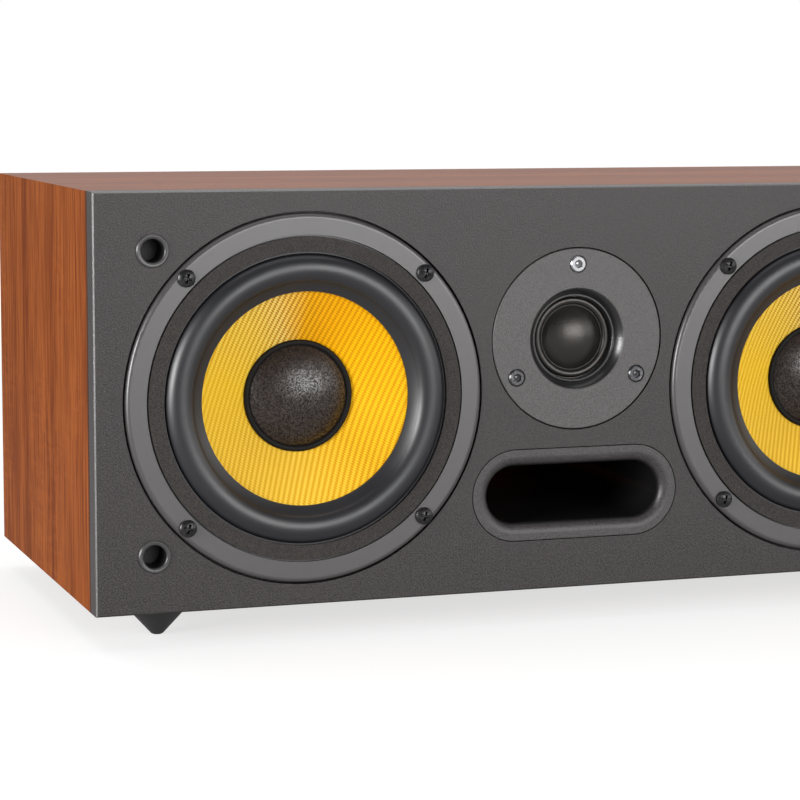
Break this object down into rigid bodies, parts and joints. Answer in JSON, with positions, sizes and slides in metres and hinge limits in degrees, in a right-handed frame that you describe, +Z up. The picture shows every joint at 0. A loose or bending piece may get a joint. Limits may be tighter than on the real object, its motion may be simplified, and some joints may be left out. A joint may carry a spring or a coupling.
{
  "type": "center channel speaker",
  "caption": "Low, wide loudspeaker box in wood veneer with woofers either side of a dome tweeter and a slot port, on cone feet, with binding posts behind.",
  "frame": {"origin": "on the floor under the middle of the speaker", "axes": "+Z up, the front baffle faces -Y, +X along the width"},
  "size_m": [0.402, 0.1944, 0.179],
  "materials": {
    "baffle_paint": "fine textured grey paint on board",
    "basket_paint": "satin grey paint",
    "black_cap": "black moulding",
    "black_screw": "black oxide",
    "brass_insert": "turned brass",
    "capacitor_film": "film wrap",
    "circuit_board": "solder resist",
    "copper_winding": "enamelled wire",
    "cup_plastic": "fine textured black moulding",
    "damping_wool": "polyester wadding",
    "dust_cap": "speckled",
    "faceplate_paint": "fine textured grey",
    "ferrite": "matte ferrite",
    "foot_plastic": "satin dark moulding",
    "gasket_rubber": "matte",
    "lead_insulation": "soft insulation",
    "nylon_support": "nylon",
    "plated_post": "gold plated",
    "port_plastic": "satin black moulding",
    "red_cap": "clear red moulding",
    "resistor_ceramic": "ceramic",
    "seal_foam": "closed-cell foam",
    "silk_dome": "coated silk",
    "socket_plastic": "satin black moulding",
    "spider_cloth": "resin-treated cloth",
    "surround_rubber": "semi-gloss",
    "terminal_strip": "fibre board with tinned blades",
    "wood_veneer": "satin wood-grain foil",
    "woven_cone": "woven fibre, lacquered",
    "zinc_plated_steel": "zinc plated"
  },
  "bodies": {
    "cabinet": {"board_supports": "nylon_support", "bottom_panel": "wood_veneer", "crossover_board": "circuit_board", "crossover_capacitors": "capacitor_film", "crossover_coils": "copper_winding", "crossover_resistor": "resistor_ceramic", "damping_pads": "damping_wool", "driver_seals": "seal_foam", "foot_front_left": "foot_plastic", "foot_front_right": "foot_plastic", "foot_inserts": "brass_insert", "foot_rear_left": "foot_plastic", "foot_rear_right": "foot_plastic", "front_baffle": "baffle_paint", "grille_sockets": "socket_plastic", "internal_leads": "lead_insulation", "left_side_panel": "wood_veneer", "left_woofer_basket": "basket_paint", "left_woofer_gasket": "gasket_rubber", "left_woofer_magnet": "ferrite", "left_woofer_spider": "spider_cloth", "left_woofer_surround": "surround_rubber", "left_woofer_terminals": "terminal_strip", "left_woofer_top_plate": "zinc_plated_steel", "left_woofer_yoke": "zinc_plated_steel", "negative_post": "plated_post", "port_tube": "port_plastic", "positive_post": "plated_post", "post_nuts": "brass_insert", "rear_panel": "wood_veneer", "right_side_panel": "wood_veneer", "right_woofer_basket": "basket_paint", "right_woofer_gasket": "gasket_rubber", "right_woofer_magnet": "ferrite", "right_woofer_spider": "spider_cloth", "right_woofer_surround": "surround_rubber", "right_woofer_terminals": "terminal_strip", "right_woofer_top_plate": "zinc_plated_steel", "right_woofer_yoke": "zinc_plated_steel", "terminal_cup": "cup_plastic", "terminal_screws": "black_screw", "terminal_seal": "seal_foam", "top_panel": "wood_veneer", "tweeter_dome": "silk_dome", "tweeter_faceplate": "faceplate_paint", "tweeter_magnet": "ferrite", "tweeter_screws": "black_screw", "tweeter_terminals": "terminal_strip", "tweeter_top_plate": "zinc_plated_steel", "tweeter_voice_coil": "copper_winding", "tweeter_yoke": "zinc_plated_steel", "woofer_screws": "black_screw"},
    "left_diaphragm": {"left_woofer_cone": "woven_cone", "left_woofer_dust_cap": "dust_cap", "left_woofer_voice_coil": "copper_winding"},
    "right_diaphragm": {"right_woofer_cone": "woven_cone", "right_woofer_dust_cap": "dust_cap", "right_woofer_voice_coil": "copper_winding"},
    "positive_terminal_cap": {"positive_cap": "red_cap"},
    "negative_terminal_cap": {"negative_cap": "black_cap"}
  },
  "joints": [
    {"name": "left_cone_travel", "type": "slide", "parent": "cabinet", "child": "left_diaphragm", "axis": [0, -1, 0], "range_m": [-0.004, 0.004], "stiffness_N_per_m": 1200, "deforming": ["left_woofer_surround", "left_woofer_spider"]},
    {"name": "right_cone_travel", "type": "slide", "parent": "cabinet", "child": "right_diaphragm", "axis": [0, -1, 0], "range_m": [-0.004, 0.004], "stiffness_N_per_m": 1200, "deforming": ["right_woofer_surround", "right_woofer_spider"]},
    {"name": "positive_cap_turn", "type": "hinge", "parent": "cabinet", "child": "positive_terminal_cap", "pos_m": [-0.0095, 0.08155, 0.0965], "axis": [0, 1, 0], "continuous": true},
    {"name": "negative_cap_turn", "type": "hinge", "parent": "cabinet", "child": "negative_terminal_cap", "pos_m": [0.0095, 0.08155, 0.0965], "axis": [0, 1, 0], "continuous": true}
  ]
}
